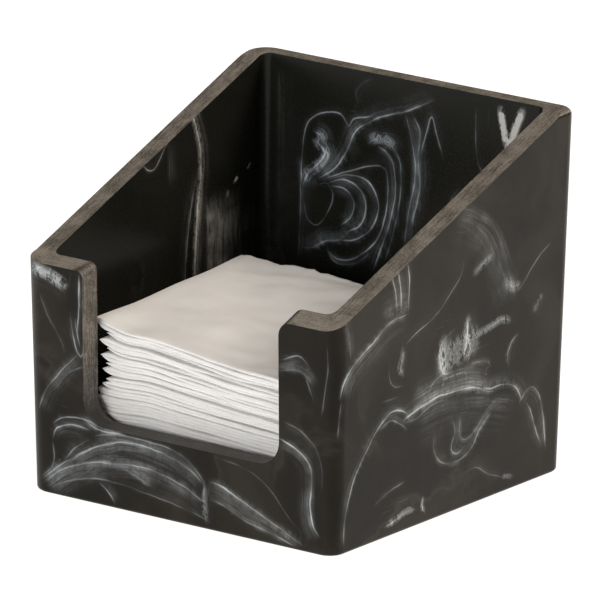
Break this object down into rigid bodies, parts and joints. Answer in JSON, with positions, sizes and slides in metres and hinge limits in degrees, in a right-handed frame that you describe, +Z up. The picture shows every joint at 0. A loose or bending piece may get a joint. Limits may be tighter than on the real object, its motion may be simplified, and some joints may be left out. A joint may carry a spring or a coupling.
{
  "type": "napkin dispenser",
  "caption": "Open bin of dark marbled cast resin with sloping sides and a U-shaped front cut-out, holding a loose stack of quarter-folded white paper napkins.",
  "frame": {"origin": "middle of the holder's footprint, on the surface that it stands on", "axes": "+Z up, the low front wall with the cut-out faces -Y, +X to the right as seen from the front with the back wall behind"},
  "size_m": [0.1988, 0.2009, 0.1895],
  "materials": {
    "marbled_resin": "satin",
    "napkin_tissue": "matte"
  },
  "bodies": {
    "holder": {"holder": "marbled_resin"},
    "napkin_01": {"napkin_01": "napkin_tissue"},
    "napkin_02": {"napkin_02": "napkin_tissue"},
    "napkin_03": {"napkin_03": "napkin_tissue"},
    "napkin_04": {"napkin_04": "napkin_tissue"},
    "napkin_05": {"napkin_05": "napkin_tissue"},
    "napkin_06": {"napkin_06": "napkin_tissue"},
    "napkin_07": {"napkin_07": "napkin_tissue"},
    "napkin_08": {"napkin_08": "napkin_tissue"},
    "napkin_09": {"napkin_09": "napkin_tissue"},
    "napkin_10": {"napkin_10": "napkin_tissue"},
    "napkin_11": {"napkin_11": "napkin_tissue"},
    "napkin_12": {"napkin_12": "napkin_tissue"},
    "napkin_13": {"napkin_13": "napkin_tissue"},
    "napkin_14": {"napkin_14": "napkin_tissue"},
    "napkin_15": {"napkin_15": "napkin_tissue"},
    "napkin_16": {"napkin_16": "napkin_tissue"},
    "napkin_17": {"napkin_17": "napkin_tissue"},
    "napkin_18": {"napkin_18": "napkin_tissue"},
    "napkin_19": {"napkin_19": "napkin_tissue"},
    "napkin_20": {"napkin_20": "napkin_tissue"}
  },
  "joints": [
    {"name": "napkin_01_lift", "type": "slide", "parent": "holder", "child": "napkin_01", "axis": [0, 0, 1], "range_m": [0, 0.185]},
    {"name": "napkin_02_lift", "type": "slide", "parent": "napkin_01", "child": "napkin_02", "axis": [0, 0, 1], "range_m": [0, 0.18]},
    {"name": "napkin_03_lift", "type": "slide", "parent": "napkin_02", "child": "napkin_03", "axis": [0, 0, 1], "range_m": [0, 0.18]},
    {"name": "napkin_04_lift", "type": "slide", "parent": "napkin_03", "child": "napkin_04", "axis": [0, 0, 1], "range_m": [0, 0.175]},
    {"name": "napkin_05_lift", "type": "slide", "parent": "napkin_04", "child": "napkin_05", "axis": [0, 0, 1], "range_m": [0, 0.17]},
    {"name": "napkin_06_lift", "type": "slide", "parent": "napkin_05", "child": "napkin_06", "axis": [0, 0, 1], "range_m": [0, 0.17]},
    {"name": "napkin_07_lift", "type": "slide", "parent": "napkin_06", "child": "napkin_07", "axis": [0, 0, 1], "range_m": [0, 0.165]},
    {"name": "napkin_08_lift", "type": "slide", "parent": "napkin_07", "child": "napkin_08", "axis": [0, 0, 1], "range_m": [0, 0.16]},
    {"name": "napkin_09_lift", "type": "slide", "parent": "napkin_08", "child": "napkin_09", "axis": [0, 0, 1], "range_m": [0, 0.16]},
    {"name": "napkin_10_lift", "type": "slide", "parent": "napkin_09", "child": "napkin_10", "axis": [0, 0, 1], "range_m": [0, 0.155]},
    {"name": "napkin_11_lift", "type": "slide", "parent": "napkin_10", "child": "napkin_11", "axis": [0, 0, 1], "range_m": [0, 0.155]},
    {"name": "napkin_12_lift", "type": "slide", "parent": "napkin_11", "child": "napkin_12", "axis": [0, 0, 1], "range_m": [0, 0.15]},
    {"name": "napkin_13_lift", "type": "slide", "parent": "napkin_12", "child": "napkin_13", "axis": [0, 0, 1], "range_m": [0, 0.145]},
    {"name": "napkin_14_lift", "type": "slide", "parent": "napkin_13", "child": "napkin_14", "axis": [0, 0, 1], "range_m": [0, 0.145]},
    {"name": "napkin_15_lift", "type": "slide", "parent": "napkin_14", "child": "napkin_15", "axis": [0, 0, 1], "range_m": [0, 0.14]},
    {"name": "napkin_16_lift", "type": "slide", "parent": "napkin_15", "child": "napkin_16", "axis": [0, 0, 1], "range_m": [0, 0.135]},
    {"name": "napkin_17_lift", "type": "slide", "parent": "napkin_16", "child": "napkin_17", "axis": [0, 0, 1], "range_m": [0, 0.135]},
    {"name": "napkin_18_lift", "type": "slide", "parent": "napkin_17", "child": "napkin_18", "axis": [0, 0, 1], "range_m": [0, 0.13]},
    {"name": "napkin_19_lift", "type": "slide", "parent": "napkin_18", "child": "napkin_19", "axis": [0, 0, 1], "range_m": [0, 0.13]},
    {"name": "napkin_20_lift", "type": "slide", "parent": "napkin_19", "child": "napkin_20", "axis": [0, 0, 1], "range_m": [0, 0.125]}
  ]
}
